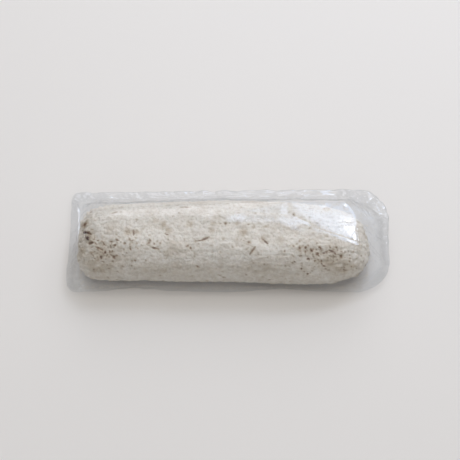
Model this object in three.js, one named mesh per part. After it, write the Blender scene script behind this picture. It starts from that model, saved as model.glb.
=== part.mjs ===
// A sugared stollen in its loose clear bag, lying on its flat underside.
//
// Millimetres, +Z up, +X along the loaf, +Y to its back. The origin is under the middle of the bag.
// One closed solid: the outside of the bag. The film lies on the loaf's crown, stands off it round
// the foot as a skirt, and is gathered into pleats at both ends.
import * as THREE from 'three';
import { ConvexHull } from 'three/addons/math/ConvexHull.js';
import { mergeVertices } from 'three/addons/utils/BufferGeometryUtils.js';

// ---------------------------------------------------------------- driving dimensions
const BAG_LENGTH = 277;
const BAG_WIDTH = 96;
const LOAF_LENGTH = 252;
const LOAF_WIDTH = 74;
const LOAF_HEIGHT = 46;
const LOAF_CENTRE_X = -3.5;      // the loaf lies nearer the bag's left end
const LOAF_CENTRE_Y = -6;        // and nearer its front edge
const LOAF_BELLY = 17;           // height of the loaf's widest level
const CROWN_POWER = 2.25;        // fullness of the loaf's section above its belly, and below it
const FOOT_POWER = 3.5;
const PLAN_ROUNDING = { left: { power: 10, root: 2.6 }, right: { power: 4.2, root: 2.1 } };
const CROWN_ROUNDING = { left: { power: 9, root: 2.6 }, right: { power: 4.5, root: 2.2 } };
const LOAF_DRIFT_LEFT = 2.5;     // how far each end of the loaf drifts forward of its middle
const LOAF_DRIFT_RIGHT = 6;
const END_DROP = 0.05;           // share of its height that the crown loses towards each end
const WAIST = { depth: 0.06, at: -0.62, reach: 0.3 };   // slight narrowing of the left half

const SKIRT_LOW = 5;             // height of the film's edge round the foot
const SKIRT_HIGH = 12;           // the same at the back right corner, where the bag puffs up
const CORNER_LEFT = 9;           // plan radius of the bag's corners
const CORNER_RIGHT = 30;
const FOOT_TUCK = 6;             // how far the foot rolls in under the skirt
const EDGE_WAVE = { depth: 1.6, spacing: 41 };   // the skirt's edge wanders in and out
const END_BOW = 1.2;             // the tucked ends are pulled in at their middle

// Where the loose film is held off the loaf by its own folds.
const FILM_PEAKS = [
  [52, 25, 38.5],                // back edge of the flat facet over the right half
  [98.5, 24, 36],
  [110, -25, 40.5],              // front corner of that facet, over the loaf's rounded end
  [-134, -31, 17],               // ears of the gathered left end
  [-133, 35, 19],
];
const SLACK = 0.1;               // sag of the film, as a share of its height over the loaf
const LUMPS = [                  // uneven dough under the film: height and spacing of the lumps
  { height: 1.1, spacing: 46 },
  { height: 0.7, spacing: 17 },
];
const CONTACT_GAP = 3;           // the film shows the loaf's lumps where it is nearer than this
const FULL_GAP = 16;             // folds reach their full height where the film stands this far off
const FOLD_RUN = 20;             // the pleats grow over this distance past the spine's ends
const EDGE_HOLD = 0.14;          // share of each row, at the skirt, over which sag and folds die away
const END_PLEATS = { perTurn: 15, height: 2.4 };
const SIDE_CREASES = { height: 1.0, length: 58, lean: 0.5 };
const LUMP_SEED = 7;
const EDGE_SEED = 23;

// ---------------------------------------------------------------- mesh density
const STATIONS = 62;             // steps along each long side of the bag
const END_STEPS = 22;            // steps round each end
const ROWS = 24;                 // steps from the spine out to the skirt
const ROW_CROWDING = 0.9;        // below 1 the rows stand closer together towards the skirt
const FOOT_STEPS = 3;            // steps round the rolled foot
const LOAF_SAMPLES = { along: 46, around: 40 };
const SPINE_LEFT = -98;          // the spine that the rows start from
const SPINE_RIGHT = 84;

// ---------------------------------------------------------------- small helpers
const clamp01 = (value) => Math.min(1, Math.max(0, value));
const mix = (a, b, share) => a + (b - a) * share;
const smooth = (value) => clamp01(value) ** 2 * (3 - 2 * clamp01(value));

// A repeatable value in -1..1 for a lattice point.
function latticeValue(i, j, seed) {
  const hashed = Math.sin(i * 127.1 + j * 311.7 + seed * 74.7) * 43758.5453;
  return 2 * (hashed - Math.floor(hashed)) - 1;
}

// Smooth noise in -1..1 over the plan.
function noise(x, y, seed) {
  const i = Math.floor(x);
  const j = Math.floor(y);
  const across = smooth(x - i);
  const near = mix(latticeValue(i, j, seed), latticeValue(i + 1, j, seed), across);
  const far = mix(latticeValue(i, j + 1, seed), latticeValue(i + 1, j + 1, seed), across);
  return mix(near, far, smooth(y - j));
}

// ---------------------------------------------------------------- the loaf
// Place along the loaf: -1 at its left end, 1 at its right end.
const alongLoaf = (x) => (x - LOAF_CENTRE_X) / (LOAF_LENGTH / 2);

// Share of the full size left at a place: both ends are rounded, the right one more.
function endRounding(place, { left, right }) {
  const { power, root } = place < 0 ? left : right;
  return clamp01(1 - Math.abs(place) ** power) ** (1 / root);
}

function loafSection(x) {
  const place = alongLoaf(x);
  const leftward = clamp01(-place);
  const rightward = clamp01(place);
  const plan = endRounding(place, PLAN_ROUNDING);
  const crown = endRounding(place, CROWN_ROUNDING);
  const waist = WAIST.depth * Math.exp(-(((place - WAIST.at) / WAIST.reach) ** 2));
  const shoulder = (LOAF_HEIGHT - LOAF_BELLY) * (1 - END_DROP * (leftward + rightward));
  const thinnest = 0.01;
  return {
    middle: LOAF_CENTRE_Y - LOAF_DRIFT_LEFT * leftward ** 1.5 - LOAF_DRIFT_RIGHT * rightward ** 1.5,
    halfWidth: Math.max(thinnest, (LOAF_WIDTH / 2) * plan * (1 - waist)),
    rise: Math.max(thinnest, shoulder * crown),
    drop: Math.max(thinnest, LOAF_BELLY * crown),
  };
}

function loafPoint(x, angle) {
  const { middle, halfWidth, rise, drop } = loafSection(x);
  const up = Math.sin(angle);
  const out = Math.cos(angle);
  const power = up >= 0 ? CROWN_POWER : FOOT_POWER;
  const reach = (Math.abs(out) / halfWidth) ** power + (Math.abs(up) / (up >= 0 ? rise : drop)) ** power;
  const radius = reach ** (-1 / power);
  return new THREE.Vector3(x, middle + radius * out, LOAF_BELLY + radius * up);
}

// Height of the loaf's upper side over a point of the plan, and 0 beside it.
function loafTop(x, y) {
  if (Math.abs(alongLoaf(x)) >= 1) return 0;
  const { middle, halfWidth, rise } = loafSection(x);
  const off = Math.abs(y - middle) / halfWidth;
  return off >= 1 ? 0 : LOAF_BELLY + rise * (1 - off ** CROWN_POWER) ** (1 / CROWN_POWER);
}

// ---------------------------------------------------------------- the bag's edge
function skirtHeight(x, y) {
  const rightward = smooth((x + BAG_LENGTH / 2) / BAG_LENGTH);
  const backward = smooth((y + BAG_WIDTH / 2) / BAG_WIDTH);
  return mix(SKIRT_LOW, SKIRT_HIGH, rightward * backward);
}

// Pulls an outline point in from the straight edge, by the wave along the sides and the bow at the ends.
function loosened(x, y) {
  const inward = EDGE_WAVE.depth * (0.5 + 0.5 * noise(x / EDGE_WAVE.spacing, Math.sign(y), EDGE_SEED));
  const endward = smooth((Math.abs(x) - SPINE_RIGHT) / (BAG_LENGTH / 2 - SPINE_RIGHT));
  const straightHalf = BAG_WIDTH / 2 - (x < 0 ? CORNER_LEFT : CORNER_RIGHT);
  const bow = END_BOW * clamp01(1 - (y / straightHalf) ** 2) * endward;
  return [x - Math.sign(x) * bow, y - Math.sign(y) * inward * (1 - endward)];
}

// The bag's outline in plan, as pairs of an outline point and the spine point that its row starts from.
function bagOutline() {
  const pairs = [];
  const halfLength = BAG_LENGTH / 2;
  const halfWidth = BAG_WIDTH / 2;
  const addEnd = (side, radius, spineX) => {
    // One end, walked clockwise seen from above: a corner, the straight end, and the other corner.
    const straight = 2 * (halfWidth - radius);
    const arc = (radius * Math.PI) / 2;
    for (let step = 0; step < END_STEPS; step += 1) {
      const walked = ((2 * arc + straight) * step) / END_STEPS;
      const first = Math.min(walked, arc) / radius;
      const second = Math.max(0, walked - arc - straight) / radius;
      const down = clamp01((walked - arc) / straight) * straight;
      const x = halfLength - radius * (1 - Math.sin(first)) - radius * (1 - Math.cos(second));
      const y = halfWidth - radius * (1 - Math.cos(first)) - down - radius * Math.sin(second);
      pairs.push({ edge: [side * x, side * y], spineX });
    }
  };
  const addSide = (side, fromRadius, toRadius, fromSpine, toSpine) => {
    const from = -side * (halfLength - fromRadius);
    const to = side * (halfLength - toRadius);
    for (let step = 0; step < STATIONS; step += 1) {
      const share = step / STATIONS;
      pairs.push({ edge: [mix(from, to, share), side * halfWidth], spineX: mix(fromSpine, toSpine, share) });
    }
  };
  addSide(1, CORNER_LEFT, CORNER_RIGHT, SPINE_LEFT, SPINE_RIGHT);
  addEnd(1, CORNER_RIGHT, SPINE_RIGHT);
  addSide(-1, CORNER_RIGHT, CORNER_LEFT, SPINE_RIGHT, SPINE_LEFT);
  addEnd(-1, CORNER_LEFT, SPINE_LEFT);
  return pairs.map(({ edge, spineX }) => ({ edge: loosened(...edge), spineX }));
}

// ---------------------------------------------------------------- the film
// The upper planes of a skin pulled tight over the loaf, the skirt and the film's own peaks.
function tautPlanes(outline) {
  const points = FILM_PEAKS.map(([x, y, z]) => new THREE.Vector3(x, y, z));
  for (const { edge: [x, y] } of outline) points.push(new THREE.Vector3(x, y, skirtHeight(x, y)));
  for (let i = 0; i <= LOAF_SAMPLES.along; i += 1) {
    const place = -Math.cos((Math.PI * i) / LOAF_SAMPLES.along) * 0.9999;
    for (let j = 0; j < LOAF_SAMPLES.around; j += 1) {
      const angle = (2 * Math.PI * j) / LOAF_SAMPLES.around;
      points.push(loafPoint(LOAF_CENTRE_X + (place * LOAF_LENGTH) / 2, angle));
    }
  }
  const steepest = 1e-4;
  return new ConvexHull()
    .setFromPoints(points)
    .faces.filter((face) => face.normal.z > steepest)
    .map(({ normal, constant }) => ({ normal, constant }));
}

function tautHeight(planes, x, y) {
  let lowest = Infinity;
  for (const { normal, constant } of planes) {
    lowest = Math.min(lowest, (constant - normal.x * x - normal.y * y) / normal.z);
  }
  return lowest;
}

// Folds that fan out from the spine's ends, and long slanting creases along the sides.
function pleats(x, y, gap) {
  const beyond = Math.max(SPINE_LEFT - x, x - SPINE_RIGHT, 0);
  const nearestX = Math.min(SPINE_RIGHT, Math.max(SPINE_LEFT, x));
  const turn = Math.atan2(y - LOAF_CENTRE_Y, x - nearestX);
  const endward = clamp01(beyond / FOLD_RUN);
  const fan = END_PLEATS.height * Math.cos(turn * END_PLEATS.perTurn) * endward;
  const phase = (2 * Math.PI * (x + SIDE_CREASES.lean * y)) / SIDE_CREASES.length;
  const crease = SIDE_CREASES.height * Math.sin(phase) * (1 - endward);
  return (fan + crease) * clamp01(gap / FULL_GAP);
}

// Height of the film over a point of the plan; share runs from 0 at the spine to 1 at the skirt.
function filmHeight(planes, x, y, share) {
  const taut = tautHeight(planes, x, y);
  const gap = Math.max(0, taut - loafTop(x, y));
  const inside = smooth((1 - share) / EDGE_HOLD);
  const touching = 1 - smooth(gap / CONTACT_GAP);
  let lumps = 0;
  for (const [index, { height, spacing }] of LUMPS.entries()) {
    lumps += height * noise(x / spacing, y / spacing, LUMP_SEED + index);
  }
  return taut + lumps * touching + (pleats(x, y, gap) - SLACK * gap) * inside;
}

// ---------------------------------------------------------------- the solid
function bagGeometry() {
  const outline = bagOutline();
  const planes = tautPlanes(outline);
  const rows = [];
  for (let row = 0; row <= ROWS; row += 1) {
    const share = (row / ROWS) ** ROW_CROWDING;
    rows.push(outline.map(({ edge, spineX }) => {
      const x = mix(spineX, edge[0], share);
      const y = mix(LOAF_CENTRE_Y, edge[1], share);
      return [x, y, row === ROWS ? skirtHeight(...edge) : filmHeight(planes, x, y, share)];
    }));
  }
  // The foot rolls in under the skirt, and the flat underside closes back to the spine.
  for (let step = 1; step <= FOOT_STEPS; step += 1) {
    const turn = (Math.PI / 2) * (step / FOOT_STEPS);
    const tuck = FOOT_TUCK * (1 - Math.cos(turn));
    rows.push(outline.map(({ edge: [x, y] }) => [
      x * (1 - (2 * tuck) / BAG_LENGTH),
      y * (1 - (2 * tuck) / BAG_WIDTH),
      step === FOOT_STEPS ? 0 : skirtHeight(x, y) * (1 - Math.sin(turn)),
    ]));
  }
  rows.push(outline.map(({ spineX }) => [spineX, LOAF_CENTRE_Y, 0]));

  const corners = [];
  const same = (a, b) => a.every((value, axis) => value === b[axis]);
  const addTriangle = (a, b, c) => {
    if (!same(a, b) && !same(b, c) && !same(c, a)) corners.push(...a, ...b, ...c);
  };
  for (let row = 0; row + 1 < rows.length; row += 1) {
    const inner = rows[row];
    const outer = rows[row + 1];
    for (let i = 0; i < outline.length; i += 1) {
      const next = (i + 1) % outline.length;
      addTriangle(inner[i], inner[next], outer[i]);
      addTriangle(outer[i], inner[next], outer[next]);
    }
  }
  const geometry = new THREE.BufferGeometry();
  geometry.setAttribute('position', new THREE.Float32BufferAttribute(corners, 3));
  return mergeVertices(geometry, 1e-4);
}

const part = new THREE.Group();
const bag = new THREE.Mesh(
  bagGeometry(),
  new THREE.MeshStandardMaterial({ color: 0xd4cfca, roughness: 0.35, metalness: 0 }),
);
bag.name = 'bagged_loaf';
part.add(bag);

export default part;
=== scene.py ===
"""A sugared stollen in its loose clear bag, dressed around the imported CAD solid.

Everything is in metres in the CAD frame: +X along the loaf to its narrower end, +Y to the back of
the bag, +Z up, with the origin on the flat underside.
"""
import math

import bmesh
import bpy
import numpy as np
from bpy.props import FloatProperty, FloatVectorProperty, IntProperty, PointerProperty
from mathutils import Matrix, Vector


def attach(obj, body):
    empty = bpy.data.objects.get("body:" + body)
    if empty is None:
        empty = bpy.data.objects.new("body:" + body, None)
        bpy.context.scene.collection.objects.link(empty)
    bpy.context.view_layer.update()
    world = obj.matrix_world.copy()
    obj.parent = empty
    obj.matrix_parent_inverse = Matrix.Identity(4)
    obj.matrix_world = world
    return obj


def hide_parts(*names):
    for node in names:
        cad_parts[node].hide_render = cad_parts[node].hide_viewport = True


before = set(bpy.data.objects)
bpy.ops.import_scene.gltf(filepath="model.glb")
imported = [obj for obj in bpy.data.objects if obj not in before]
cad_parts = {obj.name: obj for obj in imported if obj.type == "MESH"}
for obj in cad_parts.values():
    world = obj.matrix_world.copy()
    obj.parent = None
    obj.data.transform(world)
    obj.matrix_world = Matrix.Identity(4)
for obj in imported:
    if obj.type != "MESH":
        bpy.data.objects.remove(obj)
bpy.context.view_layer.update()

bl_info = {
    "name": "Bagged stollen",
    "version": (1, 0, 0),
    "blender": (4, 5, 0),
    "location": "View3D > Sidebar > Stollen",
    "description": "Builds a sugared stollen in its clear bag around the CAD solid",
    "category": "Object",
}

MM = 0.001
NODE = "bagged_loaf"             # the CAD solid that every piece here stands for
BODY = "root"
LOAF_SLOT = "sugared_crust"
RAISIN_SLOT = "raisin"
FILM_SLOT = "clear_film"


# ---------------------------------------------------------------- settings
def length(name, description, millimetres):
    """A distance property whose default is given in millimetres."""
    return FloatProperty(name=name, description=description, default=millimetres * MM, min=0.0,
                         subtype="DISTANCE", unit="LENGTH", precision=4)


def colour(name, description, rgb):
    """A colour property whose default is a linear colour."""
    return FloatVectorProperty(name=name, description=description, default=rgb, size=3, min=0.0, max=1.0,
                               subtype="COLOR")


def linear(hex_colour):
    """The linear colour of an sRGB hex value such as "#d8d2cc"."""
    values = [int(hex_colour[i:i + 2], 16) / 255 for i in (1, 3, 5)]
    return tuple(v / 12.92 if v <= 0.04045 else ((v + 0.055) / 1.055) ** 2.4 for v in values)


class LoafSettings(bpy.types.PropertyGroup):
    """Sizes and colours of the loaf."""
    loaf_length: length("Length", "Length of the loaf", 252)
    width: length("Width", "Width of the loaf at its middle", 74)
    height: length("Height", "Height of the loaf at its middle", 46)
    belly: length("Belly", "Height of the loaf's widest level", 17)
    lift: length("Lift", "Room under the loaf for the film and its seals", 0.5)
    sugar: colour("Sugar", "Powdered sugar", linear("#f8f2e7"))
    damp_sugar: colour("Damp sugar", "Sugar that has drawn moisture from the crust", linear("#e8dfd1"))
    thin_sugar: colour("Thin sugar", "Crust that shows through a thin coat of sugar", linear("#cfc1ac"))
    crust: colour("Crust", "Baked crust without sugar", linear("#977b64"))
    # Partly the crust's own brown and partly painted shade: it is laid where the cracks and pits are
    # deepest.
    dark_crust_and_shade: colour("Dark crust", "Crust inside cracks and pits", linear("#4d3427"))
    raisin: colour("Raisin", "Raisins that show through the crust", linear("#4a2b1b"))
    seed: IntProperty(name="Seed", description="Seed of the pits, patches and grains", default=11, min=0)


class BagSettings(bpy.types.PropertyGroup):
    """Sizes of the clear bag."""
    bag_length: length("Length", "Length of the bag with its ends tucked under", 277)
    width: length("Width", "Width of the bag", 96)
    skirt_low: length("Low skirt", "Height of the film's edge round the foot", 5)
    skirt_high: length("High skirt", "Height of that edge at the puffed back right corner", 12)
    corner_left: length("Left corners", "Plan radius of the left corners", 9)
    corner_right: length("Right corners", "Plan radius of the right corners", 30)
    foot_tuck: length("Foot tuck", "How far the foot rolls in under the skirt", 6)
    clearance: length("Clearance", "Least distance of the film from the loaf", 0.45)
    tint: colour("Tint", "Tint of the clear film", linear("#fbfcfd"))


class StageSettings(bpy.types.PropertyGroup):
    """Floor, light and camera."""
    floor_colour: colour("Floor", "Pale floor", linear("#eeebe6"))
    azimuth: FloatProperty(name="Azimuth", description="Camera azimuth; 0 looks along +Y",
                           default=math.radians(4.62), subtype="ANGLE", unit="ROTATION")
    elevation: FloatProperty(name="Elevation", description="Camera height above the horizon",
                             default=math.radians(63.09), subtype="ANGLE", unit="ROTATION")
    roll: FloatProperty(name="Roll", description="Camera roll, positive anticlockwise",
                        default=math.radians(-4.10), subtype="ANGLE", unit="ROTATION")
    distance: length("Distance", "Distance from the camera to its target", 1232.4)
    lens: FloatProperty(name="Lens", description="Focal length in millimetres", default=110.6, min=1.0)


# ---------------------------------------------------------------- numbers
def smooth(value):
    value = np.clip(value, 0.0, 1.0)
    return value * value * (3 - 2 * value)


def mix(a, b, share):
    return a + (b - a) * share


# Numbers without a common measure, which scatter the lattice's values: per axis, per seed, and a factor.
SCATTER_AXES = (127.1, 311.7, 183.3)
SCATTER_SEED = 74.7
SCATTER_FACTOR = 43758.5453


def lattice_value(cells, seed):
    """A repeatable value in -1..1 for each lattice point."""
    phase = sum(cells[..., axis] * SCATTER_AXES[axis] for axis in range(cells.shape[-1]))
    hashed = np.sin(phase + seed * SCATTER_SEED) * SCATTER_FACTOR
    return 2 * (hashed - np.floor(hashed)) - 1


def noise(points, seed):
    """Smooth noise in -1..1 at points of two or three coordinates, with one lattice cell per unit."""
    cell = np.floor(points)
    part = smooth(points - cell)
    total = 0.0
    for corner in np.ndindex(*(2,) * points.shape[-1]):
        step = np.array(corner)
        weight = np.prod(np.where(step, part, 1 - part), axis=-1)
        total = total + weight * lattice_value(cell + step, seed)
    return total


def patchy(points, seed):
    """Smooth noise in 0..1."""
    return 0.5 + 0.5 * noise(points, seed)


def creased(points, seed, sharpness):
    """Narrow ridges between smooth hollows, from 0 in the hollows to 1 along a ridge."""
    return (1 - np.abs(noise(points, seed))) ** sharpness


def plan(x, y):
    """Points of the plan from their coordinates, each an array or a number."""
    return np.stack(np.broadcast_arrays(x, y), axis=-1)


def distance_to_path(x, y, path):
    """Plan distance to a path of points, and the share of the path's length at the nearest place."""
    path = np.asarray(path, float)
    steps = np.linalg.norm(np.diff(path, axis=0), axis=1)
    walked = np.concatenate([[0.0], np.cumsum(steps)]) / steps.sum()
    nearest = np.full(np.shape(x), np.inf)
    share = np.zeros(np.shape(x))
    for i, (start, end) in enumerate(zip(path[:-1], path[1:])):
        along = end - start
        t = np.clip(((x - start[0]) * along[0] + (y - start[1]) * along[1]) / (along @ along), 0, 1)
        gap = np.hypot(x - start[0] - t * along[0], y - start[1] - t * along[1])
        closer = gap < nearest
        nearest = np.where(closer, gap, nearest)
        share = np.where(closer, mix(walked[i], walked[i + 1], t), share)
    return nearest, share


PATH_STEPS = 14


def bent_path(start, bend, end):
    """A smooth path from start to end that is drawn towards bend, from millimetres to metres."""
    t = np.linspace(0, 1, PATH_STEPS)[:, None]
    start, bend, end = (np.array(p, float) * MM for p in (start, bend, end))
    return (1 - t) ** 2 * start + 2 * t * (1 - t) * bend + t ** 2 * end


# ---------------------------------------------------------------- form of the loaf
LOAF_CENTRE = (-3.5 * MM, -6 * MM)
CROWN_POWER = 2.25               # fullness of the section above the belly, and below it
FOOT_POWER = 3.5
PLAN_ROUNDING = ((12, 3.2), (5.8, 2.5))      # power and root of the outline, left end and right end
CROWN_ROUNDING = ((9, 2.6), (4.8, 2.25))
END_DRIFT = (2.5 * MM, 6 * MM)   # how far each end drifts forward
END_DROP = 0.05                  # share of its height that the crown loses towards each end
DRIFT_POWER = 1.5                # the drift grows towards each end by this power
WAIST = (0.06, -0.62, 0.3)       # depth, place and reach of the narrowing in the left half
THINNEST = 0.01 * MM             # least half width and height, so that the very tip has a section
LUMPS = ((1.1 * MM, 46 * MM), (0.7 * MM, 17 * MM))      # height and spacing of the uneven dough
LUMP_SEED = 7
# The flat facet of the film over the right half: its corners in plan in millimetres, clockwise.
FACET = ((51.5, 19.3), (98.5, 21.5), (105, 14), (108, 8), (109.5, -3), (110.5, -24),
         (100, -19.8), (90, -16.3), (78.5, -9), (67, -4), (52, 1.3))
FACET_FADE = 9 * MM              # how far past its border the facet still presses the dough even
FACET_HALF_WIDTH = 16 * MM
FINE_STATIONS = 6001             # places tried along the loaf, and how they crowd towards its ends
END_CROWDING = 1.6


def end_rounding(place, rounding):
    """The share of its size that the loaf keeps, from place -1 at its left tip to 1 at its right."""
    (left_power, left_root), (right_power, right_root) = rounding
    left = np.clip(1 - np.abs(place) ** left_power, 0, 1) ** (1 / left_root)
    right = np.clip(1 - np.abs(place) ** right_power, 0, 1) ** (1 / right_root)
    return np.where(place < 0, left, right)


def along_loaf(loaf, x):
    """-1 at the loaf's left tip, 1 at its right."""
    return (x - LOAF_CENTRE[0]) / (loaf.loaf_length / 2)


def loaf_section(loaf, x):
    """Middle, half width, rise above the belly and drop below it, at stations x."""
    place = along_loaf(loaf, x)
    leftward, rightward = np.clip(-place, 0, 1), np.clip(place, 0, 1)
    depth, at, reach = WAIST
    waist = depth * np.exp(-((place - at) / reach) ** 2)
    crown = end_rounding(place, CROWN_ROUNDING)
    left_drift, right_drift = END_DRIFT
    middle = LOAF_CENTRE[1] - left_drift * leftward ** DRIFT_POWER - right_drift * rightward ** DRIFT_POWER
    half_width = loaf.width / 2 * end_rounding(place, PLAN_ROUNDING) * (1 - waist)
    rise = (loaf.height - loaf.belly) * (1 - END_DROP * (leftward + rightward)) * crown
    return middle, *(np.maximum(v, THINNEST) for v in (half_width, rise, loaf.belly * crown))


def loaf_points(loaf, x, angle):
    """Points of the smooth loaf; angle 0 is its back, a quarter turn its crown."""
    middle, half_width, rise, drop = loaf_section(loaf, x)
    out, up = np.cos(angle), np.sin(angle)
    power = np.where(up >= 0, CROWN_POWER, FOOT_POWER)
    height = np.where(up >= 0, rise, drop)
    radius = ((np.abs(out) / half_width) ** power + (np.abs(up) / height) ** power) ** (-1 / power)
    return np.stack([x + 0 * radius, middle + radius * out, loaf.belly + radius * up], axis=-1)


def loaf_top(loaf, x, y):
    """Height of the smooth loaf over the plan, 0 beside it."""
    middle, half_width, rise, _ = loaf_section(loaf, x)
    off = np.clip(np.abs(y - middle) / half_width, 0, 1)
    height = loaf.belly + rise * (1 - off ** CROWN_POWER) ** (1 / CROWN_POWER)
    return np.where((off < 1) & (np.abs(along_loaf(loaf, x)) < 1), height, 0.0)


def facet_border(x, y):
    """Whether each place is under the flat facet of the film, and its distance from the facet's border."""
    inside = np.ones(np.shape(x), bool)
    corners = np.array(FACET) * MM
    for start, end in zip(corners, np.roll(corners, -1, axis=0)):
        along = end - start
        inside &= along[0] * (y - start[1]) - along[1] * (x - start[0]) < 0
    gap, _ = distance_to_path(x, y, np.vstack([corners, corners[:1]]))
    return inside, gap


def facet_share(x, y):
    """1 under the facet, fading to 0 past its border."""
    inside, gap = facet_border(x, y)
    return np.where(inside, 1.0, smooth(1 - gap / FACET_FADE))


def facet_middle(x, y):
    """0 at the facet's border, rising to 1 along its middle."""
    inside, gap = facet_border(x, y)
    depth = np.clip(gap / FACET_HALF_WIDTH, 0, 1)
    return np.where(inside, depth * (2 - depth), 0.0)


def lumps(x, y):
    """Uneven dough: height over the plan. The film's flat facet has pressed it even."""
    uneven = sum(height * noise(plan(x, y) / spacing, LUMP_SEED + i)
                 for i, (height, spacing) in enumerate(LUMPS))
    return uneven * (1 - facet_share(x, y))


def even_stations(loaf, count):
    """Stations along the loaf that stand evenly along its rounded outline."""
    fine = np.sin(np.linspace(-1, 1, FINE_STATIONS) * math.pi / 2)
    fine = np.sign(fine) * (1 - (1 - np.abs(fine)) ** END_CROWDING)
    x = LOAF_CENTRE[0] + fine * loaf.loaf_length / 2
    half_width = loaf_section(loaf, x)[1]
    walked = np.concatenate([[0.0], np.cumsum(np.hypot(np.diff(x), np.diff(half_width)))])
    return np.interp(np.linspace(0, walked[-1], count), walked, x)


# ---------------------------------------------------------------- crust marks
# The barest middles of these marks take the dark crust colour, which is partly painted shade in the
# hollows.
# Cracks of the crust: start and end in the plan, width, depth and bareness, in millimetres.
CRACKS = (
    ((-27.3, -19.5), (-20.0, -18.6), 0.45, 0.6, 0.75),
    ((-21.0, -18.8), (-13.9, -16.1), 0.6, 0.8, 0.9),
    ((-33.5, -23.9), (-31.3, -22.4), 0.5, 0.5, 0.7),
    ((-51.5, -12.4), (-48.0, -13.4), 0.5, 0.5, 0.75),
    ((19.5, -30.4), (24.5, -23.6), 0.7, 1.0, 0.75),
    ((29.4, -15.2), (32.0, -18.9), 1.3, 0.6, 0.5),
    ((31.2, -17.8), (34.7, -21.1), 0.9, 1.0, 0.9),
    ((-62.3, -24.3), (-55.7, -25.7), 0.7, 0.7, 0.75),
    ((-78.0, -8.6), (-77.7, -14.1), 0.8, 0.6, 0.7),
    ((-120.3, -6.8), (-115.2, -10.5), 1.1, 0.9, 0.8),
    ((-112.4, -18.5), (-117.8, -17.5), 1.3, 0.9, 0.8),
    ((86.0, -25.3), (91.1, -27.2), 0.9, 0.9, 0.75),
    ((-110.6, -22.1), (-103.9, -25.5), 0.9, 0.8, 0.7),
    ((-40.2, 14.5), (-31.0, 15.6), 0.6, 0.5, 0.5),
    ((-98.0, 9.0), (-92.5, 12.0), 0.6, 0.5, 0.5),
)
# Round pits and raisin hollows: place in the plan, radius, depth and bareness, in millimetres.
PITS = (
    ((-64.9, -20.2), 0.9, 0.8, 0.9), ((-55.3, -20.7), 0.7, 0.6, 0.8), ((-29.7, -25.2), 0.8, 0.6, 0.8),
    ((-0.8, -3.4), 0.8, 0.6, 0.8), ((19.1, -20.3), 0.8, 0.8, 0.9), ((-93.5, -22.3), 0.9, 0.8, 0.85),
    ((-85.1, -20.8), 0.7, 0.7, 0.8), ((61.1, -24.8), 1.2, 0.8, 0.75), ((66.1, -23.9), 0.9, 0.7, 0.8),
    ((71.0, -26.2), 1.1, 0.8, 0.75), ((76.0, -29.0), 1.0, 0.8, 0.8), ((96.1, -29.7), 1.2, 0.9, 0.8),
    ((79.4, -34.5), 1.1, 0.8, 0.7), ((-101.9, -27.5), 1.1, 0.8, 0.8), ((-94.3, -31.4), 1.0, 0.8, 0.8),
    ((-105.3, -31.0), 1.2, 0.9, 0.8), ((-96.8, -23.8), 0.8, 0.6, 0.7),
)
# Patches where the sugar is thin over the crust: place in the plan, radius and bareness.
PATCHES = (
    ((14.9, -10.8), 3.2, 0.42), ((9.5, -2.5), 3.0, 0.24), ((-11.0, -3.0), 2.6, 0.32),
    ((-11.5, -10.0), 2.8, 0.32), ((-30.5, -3.5), 3.2, 0.30), ((-53.0, -4.0), 3.4, 0.38),
    ((-48.5, -9.0), 2.8, 0.38), ((-60.0, 0.0), 3.2, 0.24), ((-82.5, -11.3), 3.4, 0.44),
    ((-75.2, -10.6), 2.4, 0.40), ((-97.4, -8.2), 4.2, 0.22), ((31.0, -17.0), 3.0, 0.35),
    ((46.0, -18.5), 3.6, 0.24), ((56.0, -8.0), 5.0, 0.18), ((-117.0, -12.0), 5.5, 0.38),
    ((-104.0, -27.0), 9.0, 0.30), ((90.0, -28.0), 9.0, 0.26), ((-8.0, 4.0), 6.0, 0.12),
    ((70.0, -26.0), 7.0, 0.18), ((40.0, -6.0), 5.0, 0.14), ((-124.0, -22.0), 6.0, 0.32),
    ((-123.0, 2.0), 3.6, 0.75),
)
# Fields of small specks: middle and spread in the plan in millimetres, their number and bareness.
SPECKS = (
    ((-102, -30), (14, 6), 90, 0.9), ((-88, -21.5), (16, 2.5), 26, 0.9), ((-45, -24), (34, 5), 30, 0.55),
    ((14, -25), (34, 5), 26, 0.5), ((66, -26.5), (9, 4), 40, 0.85), ((91, -29), (9, 4), 56, 0.95),
    ((78, -38), (22, 3), 50, 0.9), ((-118, -14), (5, 6), 22, 0.9), ((-10, -4), (80, 10), 30, 0.5),
    ((-30, 14), (90, 9), 22, 0.45),
)
SPECK_RADII = (0.28, 0.55)       # in millimetres, and how stretched the specks are
SPECK_STRETCH = (1, 2.4)
# Scattered pits: number, radii in millimetres, stretch and bareness. More of them lie on the flanks.
RANDOM_PITS = (520, (0.25, 0.85), (1, 2.2), (0.25, 0.65))
# Scattered thin patches: the same.
RANDOM_PATCHES = (60, (2.5, 6), 1.5, (0.04, 0.16))
SPECK_FADE = (0.5, 1.0)          # each speck of a field has between these shares of its bareness
FLANK_CHANCE = (0.2, 1.1, 1.3)   # least chance of a scattered pit, and the start and rate of its growth
PIT_DEPTH = 0.8                  # depth of a speck or scattered pit, as a share of its radius
BARE_SPREAD = 1.4                # the sugar is thin this much further out than a mark is deep
SPECK_REACH = 3.5                # a speck changes nothing past this many of its radii
CRACK_TIPS = 0.35                # width of a crack at its tips, as a share of that at its middle
# Unevenness that breaks the outline of every mark: strength, spacing and seed.
RAGGEDNESS = ((0.42, 1.3 * MM, 31), (0.3, 0.6 * MM, 32))


def spot(gap, radius):
    """1 at the middle of a spot, fading to 0 past its radius."""
    return np.exp(-(gap / radius) ** 2)


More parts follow.
